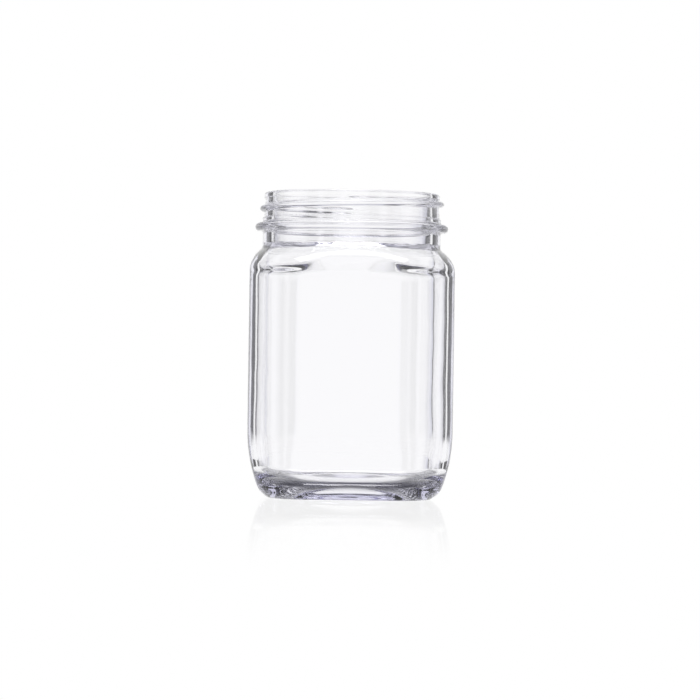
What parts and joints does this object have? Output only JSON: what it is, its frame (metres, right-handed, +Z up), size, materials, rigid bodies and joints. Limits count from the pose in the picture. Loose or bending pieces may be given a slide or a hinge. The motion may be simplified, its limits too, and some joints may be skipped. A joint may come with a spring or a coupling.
{
  "type": "screw-neck glass jar",
  "caption": "Open clear glass jar with a rounded-square body, round screw neck and raised base, for sourdough starter, preserves or dry food.",
  "frame": {"origin": "middle of the standing ring, on the surface that the jar stands on", "axes": "+Z up through the mouth, -Y out of the front panel, +X to the right as seen from the front"},
  "size_m": [0.0802, 0.0802, 0.12],
  "materials": {
    "clear_glass": "fire-polished, clear"
  },
  "bodies": {
    "root": {"glass_jar": "clear_glass"}
  },
  "joints": []
}
